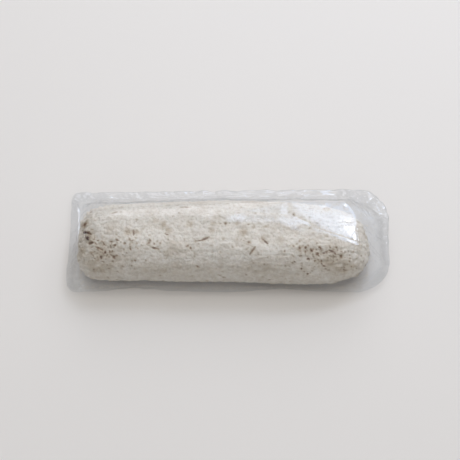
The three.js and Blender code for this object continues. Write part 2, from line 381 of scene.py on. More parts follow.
class Crust:
    """The depth of the marks in metres, and how bare of sugar each point is, from 0 to 1."""

    def __init__(self, points):
        self.points = points
        self.depth = np.zeros(len(points))
        self.bare = np.zeros(len(points))
        uneven = sum(strength * noise(points / spacing, seed) for strength, spacing, seed in RAGGEDNESS)
        self.ragged = np.exp(uneven)

    def mark(self, chosen, gap, radius, depth, bareness, spread=BARE_SPREAD):
        """Presses one mark into the chosen points, whose gaps to its middle are given."""
        gap = gap * self.ragged[chosen]
        self.depth[chosen] = np.maximum(self.depth[chosen], depth * spot(gap, radius))
        self.bare[chosen] = np.maximum(self.bare[chosen], bareness * spot(gap, spread * radius))

    def speck(self, middle, radius, heading, stretch, depth, bareness):
        """Marks one oval speck at a place on the surface."""
        chosen = np.flatnonzero(np.abs(self.points - middle).max(axis=1) < SPECK_REACH * radius * stretch)
        away = self.points[chosen] - middle
        c, s = math.cos(heading), math.sin(heading)
        along, across = away[:, 0] * c + away[:, 1] * s, away[:, 1] * c - away[:, 0] * s
        gap = np.sqrt((along / stretch) ** 2 + across ** 2 + away[:, 2] ** 2)
        self.mark(chosen, gap, radius, depth, bareness)


def crust_marks(loaf, points, normals):
    """Depth of the marks in metres, and how bare of sugar each point is, from 0 to 1."""
    crust = Crust(points)
    x, y, z = points.T
    top = np.flatnonzero(z > loaf.belly)
    for start, end, width, deep, bareness in CRACKS:
        gap, share = distance_to_path(x[top], y[top], np.array([start, end]) * MM)
        taper = CRACK_TIPS + (1 - CRACK_TIPS) * np.sin(math.pi * share)
        crust.mark(top, gap / taper, width * MM, deep * MM, bareness)
    for place, radius, deep, bareness in PITS:
        gap = np.hypot(x[top] - place[0] * MM, y[top] - place[1] * MM)
        crust.mark(top, gap, radius * MM, deep * MM, bareness)
    for place, radius, bareness in PATCHES:
        gap = np.hypot(x[top] - place[0] * MM, y[top] - place[1] * MM)
        crust.mark(top, gap, radius * MM, 0.0, bareness, spread=1.0)

    rng = np.random.default_rng(loaf.seed)
    for middle, spread, count, barest in SPECKS:
        for _ in range(count):
            place = (np.array(middle) + rng.normal(size=2) * spread) * MM
            radius = rng.uniform(*SPECK_RADII) * MM
            heading, stretch = rng.uniform(0, math.pi), rng.uniform(*SPECK_STRETCH)
            bareness = barest * rng.uniform(*SPECK_FADE)
            height = float(loaf_top(loaf, *place))
            if height > loaf.belly:
                crust.speck(np.array([*place, height]), radius, heading, stretch,
                            PIT_DEPTH * radius, bareness)
    # More of the other pits lie on the flanks than on the crown, where the sugar is thickest.
    least, start, rate = FLANK_CHANCE
    chance = least + (1 - least) * smooth(start - rate * normals[:, 2])
    count, radii, stretches, bareness = RANDOM_PITS
    for chosen in rng.choice(len(x), count, replace=False, p=chance / chance.sum()):
        radius = rng.uniform(*radii) * MM
        crust.speck(points[chosen], radius, rng.uniform(0, math.pi), rng.uniform(*stretches),
                    PIT_DEPTH * radius, rng.uniform(*bareness))
    count, radii, stretch, bareness = RANDOM_PATCHES
    for chosen in rng.choice(len(x), count, replace=False):
        radius = rng.uniform(*radii) * MM
        crust.speck(points[chosen], radius, 0.0, stretch, 0.0, rng.uniform(*bareness))
    return crust.depth, crust.bare


# Broad zones of thin sugar: middle and reach in the plan in millimetres, and bareness.
THIN_ZONES = (
    ((-104, -34), (20, 11), 0.34), ((92, -36), (22, 9), 0.32), ((40, -40), (50, 6), 0.2),
    ((-50, -40), (50, 5), 0.18), ((-124, -10), (8, 20), 0.22),
)
# Relief of the sugared crust: spacing in millimetres, seed and height in millimetres of each layer.
SWELLS = (10, 3, 0.7)
KNOBS = (5.5, 6, 0.75)
CLODS = (2.7, 4, 0.95)
GRIT = (1.4, 5, 0.5)
KNOB_SHARPNESS = 1.6
CLOD_SHARPNESS = 1.3
END_SWELL = 0.8                  # how much the swells grow at the loaf's ends, in millimetres
END_KNOBS = 1.2                  # and the knobs, as a share of their height
ROUGH_ENDS = (0.72, 0.25)        # the ends are rougher from this place on, over this reach
BLOTCHES = (4, 9)                # spacing in millimetres and seed of the blotches of thin sugar
FOOT_SUGAR = (10 * MM, 0.55)     # the sugar thins out below this level, to this bareness
UNDER_TURN = (1.6, 0.3)          # the underside grows bare at this rate as it turns down, from this turn on
UNDER_BARE = (0.42, 0.22)        # its least bareness, and what the blotches add to it
ZONE_BARE = (0.25, 1.1)          # the same for the broad zones, as shares of their bareness
WORN_TOPS = 0.13                 # bareness of the tops of the clods, which are rubbed


def loaf_relief(loaf, points, normals):
    """How far the crust lies inside the smooth loaf, in metres, and how bare it is."""
    start, reach = ROUGH_ENDS
    endness = smooth((np.abs(along_loaf(loaf, points[:, 0])) - start) / reach)
    spacing, seed, height = SWELLS
    inward = (height + END_SWELL * endness) * patchy(points / (spacing * MM), seed)
    spacing, seed, height = KNOBS
    knobs = creased(points / (spacing * MM), seed, KNOB_SHARPNESS)
    inward = inward + height * (1 + END_KNOBS * endness) * knobs
    spacing, seed, height = CLODS
    clods = creased(points / (spacing * MM), seed, CLOD_SHARPNESS)
    inward = inward + height * clods
    spacing, seed, height = GRIT
    inward = inward + height * patchy(points / (spacing * MM), seed)
    depth, bare = crust_marks(loaf, points, normals)
    # The baked base is nearly bare, and the sugar thins out just above it.
    spacing, seed = BLOTCHES
    blotch = patchy(points / (spacing * MM), seed)
    rate, start = UNDER_TURN
    least, added = UNDER_BARE
    under = smooth(-normals[:, 2] * rate - start) * (least + added * blotch)
    level, barest = FOOT_SUGAR
    foot = barest * (1 - smooth(points[:, 2] / level)) * blotch
    bare = np.maximum(bare, np.maximum(under, foot))
    least, added = ZONE_BARE
    for middle, reach, bareness in THIN_ZONES:
        away = (points[:, :2] / MM - middle) / reach
        bare = np.maximum(bare, bareness * (least + added * blotch) * spot(np.hypot(*away.T), 1.0))
    # Sugar is rubbed off the tops of the clods and gathers between them.
    bare = bare + WORN_TOPS * (1 - clods) * (1 - knobs)
    return inward * MM + depth, np.clip(bare, 0, 1)


# ---------------------------------------------------------------- form of the bag
FILM_PEAKS = np.array((
    (51.5, 19.3, 43.6), (98.5, 21, 39.8), (106.5, 9.5, 40.5), (109.5, -3, 41.6), (110.5, -24, 43.9),
    (104.8, 14.2, 40.05), (108, 7.5, 40.65),
    (100, -20, 44.3), (90, -16.5, 44.7), (78.5, -9, 44.8), (-134, -31, 17), (-133, 35, 19),
)) * MM
CREASE_ROUNDING = 0.12 * MM      # how far the film's rounded creases lie inside the sharp ones
FACET_BOW = 0.5 * MM             # how far the flat facet bulges at its middle
SLACK = 1.8 * MM                 # how far the loose film sags
TROUGH = (7 * MM, 0.5)           # hollow behind the loaf: its depth, and the share of a row it starts at
CONTACT_GAP = 3 * MM             # the film follows the dough's lumps up to this gap
FOLD_RUN = 20 * MM               # the end pleats rise over this run past the spine's ends
EDGE_HOLD = 0.14                 # folds die away over this share of a row, at the skirt
CREASE_HOLD = 0.05               # and the single creases over this one
FACET_HOLD = 0.8                 # how much of the wrinkles the facet pulls out
FOOT_ROUNDING = 1.4              # 1 folds the foot in straight, more rolls it
END_PLEATS = (15, 2.4 * MM)      # pleats per turn, and their height
FAN_START = 0.4                  # the pleats start at this share of a row
PLEAT_SHARPNESS = 2.2
LOOSE_FROM = (0.42, 0.75)        # the film is crumpled from the first share of a row, fully from the second
SIDE_CREASES = (1.0 * MM, 58 * MM, 0.5)      # height, spacing and lean
SPINE = (-98 * MM, 84 * MM)      # ends of the line over the loaf that the rows fan out from
EDGE_WAVE = (1.6 * MM, 41 * MM)  # how far the long edges wander inwards, and over what length
EDGE_SEED = 23
END_BOW = 1.2 * MM               # how far the ends bow in
ROW_CROWDING = 0.9


def backwardness(bag, y):
    """0 at the bag's front edge, 1 at its back edge."""
    return smooth((y + bag.width / 2) / bag.width)


def skirt_height(bag, x, y):
    """Height of the film's edge, which is highest at the back right corner."""
    rightward = smooth((x + bag.bag_length / 2) / bag.bag_length)
    return mix(bag.skirt_low, bag.skirt_high, rightward * backwardness(bag, y))


def bag_outline(bag, stations, end_steps):
    """The bag's outline in plan, (n, 2), and the spine station that each row starts from."""
    half_length, half_width = bag.bag_length / 2, bag.width / 2
    edges, spines = [], []
    for side in (1, -1):
        radius, other = (bag.corner_right, bag.corner_left)[::side]
        along = np.arange(stations) / stations
        start, end = -side * (half_length - other), side * (half_length - radius)
        edges.append(plan(mix(start, end, along), np.full(stations, side * half_width)))
        spines.append(mix(*SPINE[::side], along))
        straight, arc = 2 * (half_width - radius), radius * math.pi / 2
        walked = (2 * arc + straight) * np.arange(end_steps) / end_steps
        first = np.minimum(walked, arc) / radius
        second = np.maximum(0, walked - arc - straight) / radius
        down = np.clip(walked - arc, 0, straight)
        x = half_length - radius * (2 - np.sin(first) - np.cos(second))
        y = half_width - radius * (1 - np.cos(first)) - down - radius * np.sin(second)
        edges.append(side * plan(x, y))
        spines.append(np.full(end_steps, SPINE[::side][1]))
    x, y = np.concatenate(edges).T
    depth, spacing = EDGE_WAVE
    inward = depth * patchy(plan(x / spacing, np.sign(y)), EDGE_SEED)
    endward = smooth((np.abs(x) - SPINE[1]) / (half_length - SPINE[1]))
    straight_half = half_width - np.where(x < 0, bag.corner_left, bag.corner_right)
    bow = END_BOW * np.clip(1 - (y / straight_half) ** 2, 0, 1) * endward
    outline = plan(x - np.sign(x) * bow, y - np.sign(y) * inward * (1 - endward))
    return outline, np.concatenate(spines)


HULL_ROUNDING = 0.02             # in millimetres, as the hull is worked out
HULL_OUTLINE = (62, 22)          # points along each long side of the skirt and round each end
HULL_LOAF = (60, 64)             # stations along the loaf and points round each
UPWARD = 1e-4                    # the hull's faces that bound the film from above face up this much
HULL_TIPS = 0.9999               # the last stations lie this far out, where the loaf still has a section


def taut_planes(loaf, bag):
    """Upper planes of a skin pulled tight over the loaf, the skirt and the film's own peaks."""
    outline, _ = bag_outline(bag, *HULL_OUTLINE)
    skirt = np.column_stack([outline, skirt_height(bag, *outline.T)])
    stations, around = HULL_LOAF
    place = -np.cos(np.linspace(0, math.pi, stations)) * HULL_TIPS
    x = LOAF_CENTRE[0] + place * loaf.loaf_length / 2
    angle = np.linspace(0, 2 * math.pi, around, endpoint=False)
    body = loaf_points(loaf, x[:, None], angle[None, :]).reshape(-1, 3)
    cloud = np.concatenate([FILM_PEAKS, skirt, body]) / MM
    shell = bmesh.new()
    for point in cloud:
        shell.verts.new(point)
    bmesh.ops.convex_hull(shell, input=shell.verts[:])
    shell.normal_update()
    faces = [face for face in shell.faces if face.normal.z > UPWARD]
    normals = np.array([face.normal[:] for face in faces], float)
    levels = np.array([face.normal.dot(face.verts[0].co) for face in faces])
    shell.free()
    # A sliver can have a tilted normal, so only the planes that no point stands above are kept.
    holds = (cloud @ normals.T).max(axis=0) - levels < HULL_ROUNDING
    return np.column_stack([normals, levels * MM])[holds]


def taut_height(planes, x, y):
    """Height of the lowest plane, with the creases between the planes rounded."""
    nx, ny, nz, constant = planes.T[:, :, None]
    levels = (constant - nx * x - ny * y) / nz
    lowest = levels.min(axis=0)
    return lowest - CREASE_ROUNDING * np.log(np.exp((lowest - levels) / CREASE_ROUNDING).sum(axis=0))


# Creases of the film: start, bend and end in the plan, width and height, in millimetres.
CREASES = (
    ((-22, -15.3), (28, -15.6), (66, -14.5), 0.55, 0.4),
    ((-67, -34.0), (-50, -34.8), (-33, -34.4), 0.9, 0.5),
    ((-13, -34.5), (26, -35.6), (66, -34.3), 0.9, 0.6),
    ((-72, -37.5), (-5, -38.4), (60, -37.6), 1.1, -0.6),
    ((-123.5, -4), (-133.5, -9), (-136.6, -31), 1.5, 1.7),
    ((-137, 43), (-131, 42), (-124, 37), 1.1, 1.0),
    ((-137, 43), (-134, 36), (-130, 24), 1.1, 0.9),
    ((111, 29), (118, 24), (123, 13), 1.0, 1.2),
    ((118, 5), (124, 5.5), (131, 8), 0.9, 0.9),
    ((119, -3), (125, -5), (132, -5), 0.9, 0.9),
    ((118, -12), (124, -16), (131, -20), 1.0, 1.0),
    ((-86, 41), (-30, 40), (30, 42), 0.9, 0.5),
    ((-118, 33), (-70, 36), (-20, 35), 1.0, -0.6),
    ((-60, 44), (0, 43), (70, 45), 0.8, 0.5),
    # The facet's raised right border, and the faint folds that run into it.
    ((98.5, 22), (109.8, 12), (109.5, -3), 1.0, 0.4), ((109.5, -1), (108.6, -8), (110.9, -22), 1.0, 0.4),
    ((90, -1), (98, 0.5), (106, -0.5), 0.8, -0.07), ((94, -6), (101, -4), (106, -4.5), 0.7, 0.05),
    ((103, -17), (105, -11), (108, -7), 0.6, -0.08),
)
# Dimples of the facet: place in the plan, radius and height, in millimetres.
DIMPLES = (((83.6, 13.5), 3.2, -0.2), ((80.5, 16.0), 1.8, 0.2), ((100.5, 14.5), 2.0, -0.2))
CREASE_TIPS = (6, 0.05)          # a crease rises to its full height over a sixth of its length
CREASE_FLANKS = 1.5              # power by which its flanks fall away


def drawn_creases(x, y):
    """Height of the single creases and dimples over the plan."""
    total = np.zeros(x.shape)
    for start, bend, end, width, height in CREASES:
        gap, share = distance_to_path(x, y, bent_path(start, bend, end))
        taper = smooth(np.minimum(share, 1 - share) * CREASE_TIPS[0] + CREASE_TIPS[1])
        total += height * MM * taper / (1 + (gap / (width * MM)) ** 2) ** CREASE_FLANKS
    for place, radius, height in DIMPLES:
        gap = np.hypot(x - place[0] * MM, y - place[1] * MM)
        total += height * MM * spot(gap, radius * MM)
    return total


def film_height(loaf, bag, planes, x, y, share):
    """Height of the film over the plan, how loose it is, how much it rests on the loaf, and its floor.

    The share runs from 0 at the spine to 1 at the skirt.
    """
    taut = taut_height(planes, x, y)
    touching = 1 - smooth((taut - loaf_top(loaf, x, y)) / CONTACT_GAP)
    facet = facet_share(x, y)
    inside = smooth((1 - share) / EDGE_HOLD)
    free = smooth((share - LOOSE_FROM[0]) / (LOOSE_FROM[1] - LOOSE_FROM[0])) * (1 - facet)
    beyond = np.maximum(0, np.maximum(SPINE[0] - x, x - SPINE[1]))
    turn = np.arctan2(y - LOAF_CENTRE[1], x - np.clip(x, *SPINE))
    endward = np.clip(beyond / FOLD_RUN, 0, 1)
    per_turn, pleat = END_PLEATS
    height, spacing, lean = SIDE_CREASES
    ridge = 2 * (0.5 + 0.5 * np.cos(turn * per_turn)) ** PLEAT_SHARPNESS - 1
    fan = pleat * ridge * endward * smooth((share - FAN_START) / (1 - FAN_START))
    folds = fan + height * np.sin(2 * math.pi * (x + lean * y) / spacing) * (1 - endward)
    depth, start = TROUGH
    across = np.clip((share - start) / (1 - start), 0, 1)
    trough = depth * backwardness(bag, y) * np.sin(math.pi * across) * free
    surface = taut + lumps(x, y) * touching - trough + (folds - SLACK) * free * inside
    creases = drawn_creases(x, y) * smooth((1 - share) / CREASE_HOLD)
    surface = surface + creases + FACET_BOW * facet_middle(x, y)
    covered = loaf_top(loaf, x, y) + lumps(x, y) + loaf.lift
    floor = np.where(covered > loaf.belly, covered + bag.clearance, 0)
    resting = (1 - free) * (1 - FACET_HOLD * facet)
    return np.maximum(surface + loaf.lift, floor), free, resting, floor


# ---------------------------------------------------------------- meshes
def new_piece(name, vertices, faces, material, slot, smooth_shading=True):
    """Makes a mesh object that rides on the part's body and stands for the CAD solid."""
    mesh = bpy.data.meshes.new(name)
    mesh.from_pydata(np.asarray(vertices).tolist(), [], faces)
    mesh.validate()
    mesh.update()
    mesh.polygons.foreach_set("use_smooth", [smooth_shading] * len(mesh.polygons))
    mesh.materials.append(material)
    piece = bpy.data.objects.new(name, mesh)
    bpy.context.scene.collection.objects.link(piece)
    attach(piece, BODY)
    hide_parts(NODE)
    return piece


def ring_faces(rows, around):
    """Quads between rows of closed rings."""
    row = np.arange(rows - 1)[:, None] * around
    here = np.arange(around)[None, :]
    there = (here + 1) % around
    quads = np.stack([row + here, row + there, row + around + there, row + around + here], axis=-1)
    return quads.reshape(-1, 4).tolist()


def vertex_values(piece, name, values):
    """Stores one value for each vertex, for a material to read."""
    attribute = piece.data.attributes.new(name, "FLOAT", "POINT")
    attribute.data.foreach_set("value", np.asarray(values, np.float32))


def surface_normals(grid):
    """Unit normals of a (rows, around, 3) grid of closed rings, facing out."""
    along = np.gradient(grid, axis=0)
    around = np.roll(grid, -1, axis=1) - np.roll(grid, 1, axis=1)
    normals = np.cross(around, along)
    size = np.linalg.norm(normals, axis=-1, keepdims=True)
    return normals / np.maximum(size, 1e-12)


LOAF_STATIONS = 340
LOAF_AROUND = 280
LUMP_FADE = 14 * MM              # the lumps grow to their full height over this much above the belly


def loaf_mesh(loaf):
    """Vertices, faces and bareness of the loaf."""
    x = even_stations(loaf, LOAF_STATIONS + 2)[1:-1]
    angle = np.linspace(0, 2 * math.pi, LOAF_AROUND, endpoint=False)
    grid = loaf_points(loaf, x[:, None], angle[None, :])
    # An even walk round each section keeps the quads square.
    for ring in grid:
        closed = np.vstack([ring, ring[:1]])
        walked = np.concatenate([[0], np.cumsum(np.linalg.norm(np.diff(closed, axis=0), axis=1))])
        even = np.linspace(0, walked[-1], LOAF_AROUND, endpoint=False)
        ring[:, 1] = np.interp(even, walked, closed[:, 1])
        ring[:, 2] = np.interp(even, walked, closed[:, 2])
    normals = surface_normals(grid).reshape(-1, 3)
    points = grid.reshape(-1, 3)
    inward, bare = loaf_relief(loaf, points, normals)
    raised = points[:, 2] > loaf.belly
    points = points - normals * inward[:, None]
    rise = lumps(points[:, 0], points[:, 1]) * smooth((points[:, 2] - loaf.belly) / LUMP_FADE)
    points[:, 2] += np.where(raised, rise, 0) + loaf.lift
    ends = [points[:LOAF_AROUND].mean(axis=0), points[-LOAF_AROUND:].mean(axis=0)]
    first_end = len(points)
    faces = ring_faces(LOAF_STATIONS, LOAF_AROUND)
    last_ring = first_end - LOAF_AROUND
    for i in range(LOAF_AROUND):
        nxt = (i + 1) % LOAF_AROUND
        faces.append([first_end, nxt, i])
        faces.append([first_end + 1, last_ring + i, last_ring + nxt])
    bare = np.concatenate([bare, [bare[:LOAF_AROUND].mean(), bare[-LOAF_AROUND:].mean()]])
    return np.vstack([points, ends]), faces, bare


FILM_STATIONS = 330
FILM_END_STEPS = 110
FILM_ROWS = 104
FOOT_ROWS = 8
BASE_ROWS = 14
FILM_BASE = 0.25 * MM            # height of the film's underside over the seals folded below it
# Crossing folds of the loose film: height and spacing in millimetres, and heading in degrees.
CRUMPLES = ((0.9, 19, 18), (0.75, 14, -41), (0.45, 9, 76), (0.4, 7.3, -68), (0.22, 4.4, 33))
CRUMPLED_FRONT = 0.45            # the front is less crumpled than the back by this factor
CRUMPLE_BEND = (0.6, 30 * MM)    # the folds wander by this share of their spacing, over this length
CRUMPLE_SPREAD = (0.9, 17 * MM)  # they come and go by this much, over this length
# Long folds along the front: height, spacing along x, y and z in millimetres, and sharpness.
FRONT_FOLDS = (1.0, (95, 7, 7), 3.0)
FOLD_LEVEL = 0.4                 # share of a fold's height that lies below the smooth film
# Faint lengthwise wrinkles where the film lies on the loaf: height, and spacing, in millimetres.
WRINKLES = ((0.10, (48, 6, 6)), (0.05, (19, 3.5, 3.5)))
BEND_SEED, SPREAD_SEED, WRINKLE_SEED, FOLD_SEED = 41, 46, 51, 57


def crumple(points):
    """Straight folds that cross each other and come and go, in metres."""
    total = np.zeros(points.shape[:-1])
    for i, (height, spacing, heading) in enumerate(CRUMPLES):
        c, s = math.cos(math.radians(heading)), math.sin(math.radians(heading))
        walked = (points[..., 0] * c + (points[..., 1] + points[..., 2]) * s) / (spacing * MM)
        walked = walked + CRUMPLE_BEND[0] * noise(points / CRUMPLE_BEND[1], BEND_SEED + i)
        fold = 1 - 2 * np.abs(2 * (walked - np.floor(walked)) - 1)
        shown = smooth(0.5 + CRUMPLE_SPREAD[0] * noise(points / CRUMPLE_SPREAD[1], SPREAD_SEED + i))
        total += height * MM * fold * shown
    return total


def crumpled(bag, grid, loose, resting):
    """Moves the film along its normals: sharp crumples where it is loose, faint wrinkles where it rests."""
    normals = -surface_normals(grid)
    back = backwardness(bag, grid[..., 1])
    height, spacing, sharpness = FRONT_FOLDS
    folds = height * MM * (creased(grid / (np.array(spacing) * MM), FOLD_SEED, sharpness) - FOLD_LEVEL)
    shift = (crumple(grid) * mix(CRUMPLED_FRONT, 1, back) + folds * (1 - back)) * loose
    for i, (height, spacing) in enumerate(WRINKLES):
        shift += height * MM * noise(grid / (np.array(spacing) * MM), WRINKLE_SEED + i) * resting
    return grid + normals * shift[..., None]


def bag_mesh(loaf, bag):
    """Vertices and faces of the film: its upper sheet, the folded foot and the underside."""
    planes = taut_planes(loaf, bag)
    outline, spine = bag_outline(bag, FILM_STATIONS, FILM_END_STEPS)
    start = plan(spine, np.full(len(spine), LOAF_CENTRE[1]))
    rows, loose, resting, floors = [], [], [], []
    for row in range(FILM_ROWS + 1):
        share = (row / FILM_ROWS) ** ROW_CROWDING
        x, y = mix(start, outline, share).T
        height, *states = film_height(loaf, bag, planes, x, y, share)
        rows.append(np.column_stack([x, y, height]))
        for column, state in zip((loose, resting, floors), states):
            column.append(state)
    # The foot rolls in under the skirt, and is pulled flat in its lower half.
    edge_height = rows[-1][:, 2]
    for step in range(1, FOOT_ROWS + 1):
        down = step / FOOT_ROWS
        tuck = bag.foot_tuck * down ** FOOT_ROUNDING
        scale = np.array([1 - 2 * tuck / bag.bag_length, 1 - 2 * tuck / bag.width])
        z = FILM_BASE + (edge_height - FILM_BASE) * (1 - down)
        rows.append(np.column_stack([outline * scale, z]))
        loose.append(np.full(len(outline), smooth(2 - 2 * down)))
        resting.append(np.zeros(len(outline)))
        floors.append(np.full(len(outline), FILM_BASE))
    foot = rows[-1][:, :2]
    for step in range(1, BASE_ROWS + 1):
        x, y = mix(foot, start, step / BASE_ROWS).T
        rows.append(np.column_stack([x, y, np.full(len(x), FILM_BASE)]))
        loose.append(np.zeros(len(x)))
        resting.append(np.zeros(len(x)))
        floors.append(np.full(len(x), FILM_BASE))
    grid = crumpled(bag, np.stack(rows), np.stack(loose), np.stack(resting))
    grid[..., 2] = np.maximum(grid[..., 2], np.stack(floors))
    grid[-BASE_ROWS:, :, 2] = FILM_BASE
    return grid.reshape(-1, 3), ring_faces(*grid.shape[:2])


WELD_DISTANCE = 0.01 * MM


def weld(piece, distance):
    """Merges vertices that lie on each other and drops the faces that close up."""
    shell = bmesh.new()
    shell.from_mesh(piece.data)
    bmesh.ops.remove_doubles(shell, verts=shell.verts[:], dist=distance)
    bmesh.ops.dissolve_degenerate(shell, edges=shell.edges[:], dist=distance / 10)
    bmesh.ops.recalc_face_normals(shell, faces=shell.faces[:])
    shell.to_mesh(piece.data)
    shell.free()


# ---------------------------------------------------------------- materials
def add_node(tree, kind, inputs=(), links=(), **settings):
    """Adds a node, sets its settings and inputs, and links its inputs to other nodes' sockets."""
    node = tree.nodes.new(kind)
    for name, value in settings.items():
        setattr(node, name, value)
    for name, value in dict(inputs).items():
        node.inputs[name].default_value = value
    for name, source in dict(links).items():
        tree.links.new(source, node.inputs[name])
    return node


# Sockets of a Mix node that mixes colours, whose names are all the same.
MIX_SHARE, MIX_FIRST, MIX_SECOND = 0, 6, 7
MIX_RESULT = 2


def new_material(name):
    """A material and its node tree, which is empty."""
    material = bpy.data.materials.new(name)
    material.use_nodes = True
    material.node_tree.nodes.clear()
    return material, material.node_tree


def rgba(rgb):
    """An opaque colour."""
    return (*rgb, 1.0)


def sugared_crust(loaf):
    """Powdered sugar sifted over buttered crust: chalky and matt, with brown crust and painted shade in the
    hollows.
    """
    material, tree = new_material("powdered_sugar_on_crust")
    place = add_node(tree, "ShaderNodeTexCoord").outputs["Object"]
    bare = add_node(tree, "ShaderNodeAttribute", attribute_name="bare").outputs["Fac"]
    # Sugar clumps about 2.2 mm across, and patches about 9 mm across where it has drawn moisture.
    clumps = add_node(tree, "ShaderNodeTexNoise",
                      {"Scale": 1 / (2.2 * MM), "Detail": 4.0, "Roughness": 0.6},
                      {"Vector": place}).outputs["Fac"]
    patches = add_node(tree, "ShaderNodeTexNoise",
                       {"Scale": 1 / (9 * MM), "Detail": 4.0, "Roughness": 0.62},
                       {"Vector": place}).outputs["Fac"]
    damp = add_node(tree, "ShaderNodeMapRange", {"From Min": 0.44, "From Max": 0.85},
                    {"Value": patches}).outputs["Result"]
    # Painted shade in the tiny gaps between the clumps: it is added to the bareness, so the colour there
    # turns towards the crust.
    painted_gap_shade = add_node(tree, "ShaderNodeMapRange", {"From Min": 0.52, "From Max": 0.28, "To Max": 0.4},
                    {"Value": clumps}).outputs["Result"]
    sugar = add_node(tree, "ShaderNodeMix",
                     {MIX_FIRST: rgba(loaf.sugar), MIX_SECOND: rgba(loaf.damp_sugar)},
                     {MIX_SHARE: damp}, data_type="RGBA").outputs[MIX_RESULT]
    # The sugar breaks up grain by grain at the edge of each bare spot.
    broken = add_node(tree, "ShaderNodeMapRange",
                      {"From Min": 0.3, "From Max": 0.7, "To Min": 0.45, "To Max": 1.55},
                      {"Value": clumps}).outputs["Result"]
    # The bareness with the painted gap shade added to it, then broken up grain by grain below.
    thin = add_node(tree, "ShaderNodeMath", {}, {0: bare, 1: painted_gap_shade}, operation="ADD").outputs[0]
    edge = add_node(tree, "ShaderNodeMath", {}, {0: thin, 1: broken}, operation="MULTIPLY").outputs[0]
    # From a full coat over a thin one to bare crust, and to the dark crust deep in the cracks, whose
    # darkest brown is partly painted shade.
    base = sugar
    for finish, start, full in ((loaf.thin_sugar, 0.04, 0.4), (loaf.crust, 0.38, 0.72),
                                (loaf.dark_crust_and_shade, 0.66, 1.0)):
        share = add_node(tree, "ShaderNodeMapRange", {"From Min": start, "From Max": full},
                         {"Value": edge}).outputs["Result"]
        base = add_node(tree, "ShaderNodeMix", {MIX_SECOND: rgba(finish)},
                        {MIX_SHARE: share, MIX_FIRST: base}, data_type="RGBA").outputs[MIX_RESULT]
    grain = add_node(tree, "ShaderNodeTexNoise", {"Scale": 1 / (0.5 * MM), "Detail": 2.0},
                     {"Vector": place}).outputs["Fac"]
    coarse = add_node(tree, "ShaderNodeBump", {"Strength": 1.0, "Distance": 1.7 * MM},
                      {"Height": clumps}).outputs["Normal"]
    fine = add_node(tree, "ShaderNodeBump", {"Strength": 0.7, "Distance": 0.35 * MM},
                    {"Height": grain, "Normal": coarse}).outputs["Normal"]
    shader = add_node(tree, "ShaderNodeBsdfPrincipled",
                      {"Roughness": 0.92, "Specular IOR Level": 0.25, "Subsurface Weight": 0.12,
                       "Subsurface Radius": (1.0, 0.85, 0.7), "Subsurface Scale": 0.8 * MM},
                      {"Base Color": base, "Normal": fine})
    add_node(tree, "ShaderNodeOutputMaterial", {}, {"Surface": shader.outputs["BSDF"]})
    return material


def raisin_skin(loaf):
    """Sun-dried raisin: dark, wrinkled skin with a dull shine, dusted with the sugar round it."""
    material, tree = new_material("dried_raisin_skin")
    place = add_node(tree, "ShaderNodeTexCoord").outputs["Object"]
    dust = add_node(tree, "ShaderNodeTexNoise", {"Scale": 1 / (1.3 * MM), "Detail": 3.0},
                    {"Vector": place}).outputs["Fac"]
    dusted = add_node(tree, "ShaderNodeMapRange", {"From Min": 0.45, "From Max": 0.75, "To Max": 0.6},
                      {"Value": dust}).outputs["Result"]
    base = add_node(tree, "ShaderNodeMix",
                    {MIX_FIRST: rgba(loaf.raisin), MIX_SECOND: rgba(loaf.damp_sugar)},
                    {MIX_SHARE: dusted}, data_type="RGBA").outputs[MIX_RESULT]
    wrinkle = add_node(tree, "ShaderNodeBump", {"Strength": 0.5, "Distance": 0.3 * MM},
                       {"Height": dust}).outputs["Normal"]
    shader = add_node(tree, "ShaderNodeBsdfPrincipled", {"Roughness": 0.6, "Specular IOR Level": 0.3},
                      {"Base Color": base, "Normal": wrinkle})
    add_node(tree, "ShaderNodeOutputMaterial", {}, {"Surface": shader.outputs["BSDF"]})
    return material


def loose_sugar_powder(loaf):
    """Loose powdered sugar: white, matt clumps that have fallen beside the loaf."""
    material, tree = new_material("loose_powdered_sugar")
    place = add_node(tree, "ShaderNodeTexCoord").outputs["Object"]
    shade = add_node(tree, "ShaderNodeTexNoise", {"Scale": 1 / (6 * MM), "Detail": 2.0},
                     {"Vector": place}).outputs["Fac"]
    base = add_node(tree, "ShaderNodeMix",
                    {MIX_FIRST: rgba(loaf.sugar), MIX_SECOND: rgba(loaf.damp_sugar)},
                    {MIX_SHARE: shade}, data_type="RGBA").outputs[MIX_RESULT]
    shader = add_node(tree, "ShaderNodeBsdfPrincipled", {"Roughness": 0.9, "Specular IOR Level": 0.25},
                      {"Base Color": base})
    add_node(tree, "ShaderNodeOutputMaterial", {}, {"Surface": shader.outputs["BSDF"]})
    return material


FILM_INDEX = 1.75                # stands for both faces of the film, whose plastic has about 1.5


